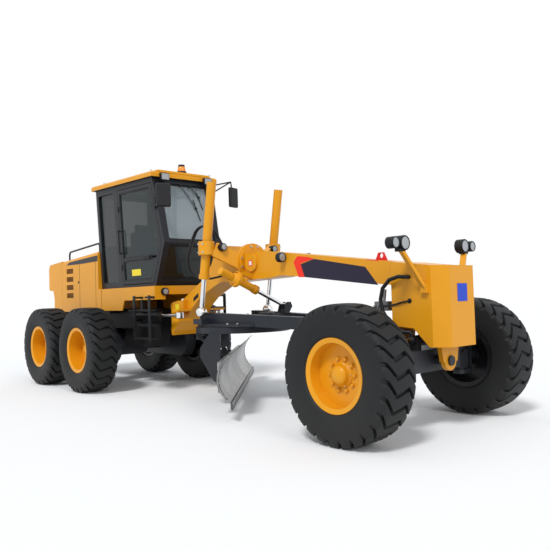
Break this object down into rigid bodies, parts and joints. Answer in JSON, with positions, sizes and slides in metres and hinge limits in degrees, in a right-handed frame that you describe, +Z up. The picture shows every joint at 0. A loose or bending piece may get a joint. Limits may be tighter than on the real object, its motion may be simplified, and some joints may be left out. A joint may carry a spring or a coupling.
{
  "type": "motor grader",
  "caption": "Articulated motor grader with tandem drive, arched front beam, leaning steered front wheels and a turning, tilting blade slung under the beam.",
  "frame": {"origin": "centre of the bounding box on the ground, in the machine's middle plane", "axes": "+X forward, +Y to the left, +Z up"},
  "size_m": [8.9064, 2.605, 3.5077],
  "materials": {
    "amber_paint": "gloss",
    "slate_paint": "satin",
    "black_paint": "satin",
    "chrome_rod": "polished",
    "blade_steel": "satin",
    "edge_steel": "satin",
    "tyre_rubber": "matt",
    "glass": "clear",
    "seat_fabric": "matt",
    "lamp": "gloss",
    "engine_iron": "matt"
  },
  "bodies": {
    "rear_machine": {"rear_frame": "slate_paint", "tandem_axle": "slate_paint", "engine": "engine_iron", "hood": "amber_paint", "hood_tail": "amber_paint", "cab_frame": "slate_paint", "cab_glass": "glass", "cab_roof": "amber_paint", "cab_base": "amber_paint", "seat": "seat_fabric", "console": "black_paint", "cab_steps": "black_paint", "mirrors": "black_paint", "handrails": "black_paint", "machine_lamps": "lamp"},
    "front_frame": {"gooseneck": "amber_paint", "beam_head": "amber_paint", "lift_saddle": "amber_paint", "front_axle": "slate_paint", "steering_cylinder": "black_paint", "front_lamps": "lamp", "hoses": "black_paint"},
    "door_right": {"door_right": "slate_paint", "door_glass_right": "glass"},
    "door_left": {"door_left": "slate_paint", "door_glass_left": "glass"},
    "wheel_rear_right_front": {"tyre_rear_right_front": "tyre_rubber", "rim_rear_right_front": "amber_paint"},
    "wheel_rear_right_back": {"tyre_rear_right_back": "tyre_rubber", "rim_rear_right_back": "amber_paint"},
    "wheel_rear_left_front": {"tyre_rear_left_front": "tyre_rubber", "rim_rear_left_front": "amber_paint"},
    "wheel_rear_left_back": {"tyre_rear_left_back": "tyre_rubber", "rim_rear_left_back": "amber_paint"},
    "lean_right": {"lean_bracket_right": "slate_paint"},
    "knuckle_right": {"knuckle_right": "slate_paint"},
    "wheel_front_right": {"tyre_front_right": "tyre_rubber", "rim_front_right": "amber_paint"},
    "lean_left": {"lean_bracket_left": "slate_paint"},
    "knuckle_left": {"knuckle_left": "slate_paint"},
    "wheel_front_left": {"tyre_front_left": "tyre_rubber", "rim_front_left": "amber_paint"},
    "steering_rod": {"steering_rod": "chrome_rod"},
    "drawbar": {"drawbar": "slate_paint"},
    "circle": {"circle": "slate_paint"},
    "tilt_frame": {"tilt_frame": "slate_paint"},
    "moldboard": {"moldboard": "blade_steel", "cutting_edge": "edge_steel"},
    "lift_barrel_right": {"lift_barrel_right": "amber_paint"},
    "lift_rod_right": {"lift_rod_right": "chrome_rod"},
    "artic_barrel_right": {"artic_barrel_right": "black_paint"},
    "artic_rod_right": {"artic_rod_right": "chrome_rod"},
    "lift_barrel_left": {"lift_barrel_left": "amber_paint"},
    "lift_rod_left": {"lift_rod_left": "chrome_rod"},
    "artic_barrel_left": {"artic_barrel_left": "black_paint"},
    "artic_rod_left": {"artic_rod_left": "chrome_rod"},
    "shift_barrel": {"shift_barrel": "amber_paint"},
    "shift_rod": {"shift_rod": "chrome_rod"},
    "pitch_barrel": {"pitch_barrel": "black_paint"},
    "pitch_rod": {"pitch_rod": "chrome_rod"}
  },
  "joints": [
    {"name": "frame_articulation", "type": "hinge", "parent": "rear_machine", "child": "front_frame", "pos_m": [-0.7095, 0, 1.11], "axis": [0, 0, 1], "range_deg": [-20, 20]},
    {"name": "door_right_hinge", "type": "hinge", "parent": "rear_machine", "child": "door_right", "pos_m": [-1.5735, -0.522, 2.4008], "axis": [0, 0.0486, -0.9988], "range_deg": [0, 75]},
    {"name": "door_left_hinge", "type": "hinge", "parent": "rear_machine", "child": "door_left", "pos_m": [-1.5735, 0.522, 2.4008], "axis": [0, 0.0486, 0.9988], "range_deg": [0, 75]},
    {"name": "wheel_rear_right_front_spin", "type": "hinge", "parent": "rear_machine", "child": "wheel_rear_right_front", "pos_m": [-1.6605, -1.08, 0.66], "axis": [0, 1, 0], "continuous": true},
    {"name": "wheel_rear_right_back_spin", "type": "hinge", "parent": "rear_machine", "child": "wheel_rear_right_back", "pos_m": [-3.1985, -1.08, 0.66], "axis": [0, 1, 0], "continuous": true},
    {"name": "wheel_rear_left_front_spin", "type": "hinge", "parent": "rear_machine", "child": "wheel_rear_left_front", "pos_m": [-1.6605, 1.08, 0.66], "axis": [0, 1, 0], "continuous": true},
    {"name": "wheel_rear_left_back_spin", "type": "hinge", "parent": "rear_machine", "child": "wheel_rear_left_back", "pos_m": [-3.1985, 1.08, 0.66], "axis": [0, 1, 0], "continuous": true},
    {"name": "lean_right_hinge", "type": "hinge", "parent": "front_frame", "child": "lean_right", "pos_m": [3.7895, -0.69, 0.62], "axis": [1, 0, 0], "range_deg": [-17, 17]},
    {"name": "steer_right_hinge", "type": "hinge", "parent": "lean_right", "child": "knuckle_right", "pos_m": [3.7895, -0.82, 0.66], "axis": [0, 0, 1], "range_deg": [-45, 45]},
    {"name": "wheel_front_right_spin", "type": "hinge", "parent": "knuckle_right", "child": "wheel_front_right", "pos_m": [3.7895, -1.08, 0.66], "axis": [0, 1, 0], "continuous": true},
    {"name": "lean_left_hinge", "type": "hinge", "parent": "front_frame", "child": "lean_left", "pos_m": [3.7895, 0.69, 0.62], "axis": [1, 0, 0], "range_deg": [-17, 17]},
    {"name": "steer_left_hinge", "type": "hinge", "parent": "lean_left", "child": "knuckle_left", "pos_m": [3.7895, 0.82, 0.66], "axis": [0, 0, 1], "range_deg": [-45, 45]},
    {"name": "wheel_front_left_spin", "type": "hinge", "parent": "knuckle_left", "child": "wheel_front_left", "pos_m": [3.7895, 1.08, 0.66], "axis": [0, 1, 0], "continuous": true},
    {"name": "steering_rod_slide", "type": "slide", "parent": "front_frame", "child": "steering_rod", "axis": [0, 1, 0], "range_m": [-0.1154, 0.1154]},
    {"name": "drawbar_lift", "type": "hinge", "parent": "front_frame", "child": "drawbar", "pos_m": [3.5705, 0, 0.9], "axis": [0, 1, 0], "range_deg": [-12, 3.5]},
    {"name": "circle_turn", "type": "hinge", "parent": "drawbar", "child": "circle", "pos_m": [0.9205, 0, 0.98], "axis": [0, 0, 1], "continuous": true},
    {"name": "blade_pitch", "type": "hinge", "parent": "circle", "child": "tilt_frame", "pos_m": [0.71399, -0.21761, 0.4], "axis": [0.7254, -0.6884, 0], "range_deg": [-35, 5]},
    {"name": "blade_side_shift", "type": "slide", "parent": "tilt_frame", "child": "moldboard", "axis": [0.7254, -0.6884, 0], "range_m": [-0.6, 0.6]},
    {"name": "lift_barrel_right_swing", "type": "hinge", "parent": "front_frame", "child": "lift_barrel_right", "pos_m": [0.9255, -0.59, 2.07], "axis": [0, 1, 0], "range_deg": [-3.77, 1.1]},
    {"name": "lift_rod_right_slide", "type": "slide", "parent": "lift_barrel_right", "child": "lift_rod_right", "axis": [-0.1794, 0, -0.9838], "range_m": [-0.17419, 0.59724]},
    {"name": "artic_barrel_right_swing", "type": "hinge", "parent": "rear_machine", "child": "artic_barrel_right", "pos_m": [-1.3095, -0.45, 1.17], "axis": [0, 0, 1], "range_deg": [-9.43, 9.43]},
    {"name": "artic_rod_right_slide", "type": "slide", "parent": "artic_barrel_right", "child": "artic_rod_right", "axis": [0.9964, 0.0844, 0], "range_m": [-0.14115, 0.14115]},
    {"name": "lift_barrel_left_swing", "type": "hinge", "parent": "front_frame", "child": "lift_barrel_left", "pos_m": [0.9255, 0.59, 2.07], "axis": [0, 1, 0], "range_deg": [-3.77, 1.1]},
    {"name": "lift_rod_left_slide", "type": "slide", "parent": "lift_barrel_left", "child": "lift_rod_left", "axis": [-0.1794, 0, -0.9838], "range_m": [-0.17419, 0.59724]},
    {"name": "artic_barrel_left_swing", "type": "hinge", "parent": "rear_machine", "child": "artic_barrel_left", "pos_m": [-1.3095, 0.45, 1.17], "axis": [0, 0, 1], "range_deg": [-9.43, 9.43]},
    {"name": "artic_rod_left_slide", "type": "slide", "parent": "artic_barrel_left", "child": "artic_rod_left", "axis": [0.9964, -0.0844, 0], "range_m": [-0.14115, 0.14115]},
    {"name": "shift_barrel_swing", "type": "hinge", "parent": "front_frame", "child": "shift_barrel", "pos_m": [1.3405, -0.43, 1.64], "axis": [0.6657, 0.6205, -0.4146], "range_deg": [-29.83, 8.7]},
    {"name": "shift_rod_slide", "type": "slide", "parent": "shift_barrel", "child": "shift_rod", "axis": [-0.0512, 0.9208, -0.3867], "range_m": [-0.06802, 0.2332]},
    {"name": "pitch_barrel_swing", "type": "hinge", "parent": "circle", "child": "pitch_barrel", "pos_m": [0.50404, -0.43885, 0.88], "axis": [0.7254, -0.6884, 0], "range_deg": [-0.53, 3.71]},
    {"name": "pitch_rod_slide", "type": "slide", "parent": "pitch_barrel", "child": "pitch_rod", "axis": [0.5988, 0.631, -0.4933], "range_m": [-0.02533, 0.17732]}
  ],
  "couplings": [
    {"joint": "lean_left_hinge", "follows": "lean_right_hinge", "ratio": 1},
    {"joint": "steer_left_hinge", "follows": "steer_right_hinge", "ratio": 1},
    {"joint": "steering_rod_slide", "follows": "steer_right_hinge", "m_per_rad": 0.14405},
    {"joint": "lift_barrel_right_swing", "follows": "drawbar_lift", "ratio": 0.30793},
    {"joint": "lift_rod_right_slide", "follows": "drawbar_lift", "m_per_rad": -2.7957},
    {"joint": "artic_barrel_right_swing", "follows": "frame_articulation", "ratio": 0.4625},
    {"joint": "artic_rod_right_slide", "follows": "frame_articulation", "m_per_rad": 0.39644},
    {"joint": "lift_barrel_left_swing", "follows": "drawbar_lift", "ratio": 0.30793},
    {"joint": "lift_rod_left_slide", "follows": "drawbar_lift", "m_per_rad": -2.7957},
    {"joint": "artic_barrel_left_swing", "follows": "frame_articulation", "ratio": 0.4625},
    {"joint": "artic_rod_left_slide", "follows": "frame_articulation", "m_per_rad": -0.39644},
    {"joint": "shift_barrel_swing", "follows": "drawbar_lift", "ratio": 2.4371},
    {"joint": "shift_rod_slide", "follows": "drawbar_lift", "m_per_rad": -1.0916},
    {"joint": "pitch_barrel_swing", "follows": "blade_pitch", "ratio": -0.1039},
    {"joint": "pitch_rod_slide", "follows": "blade_pitch", "m_per_rad": -0.28459}
  ]
}
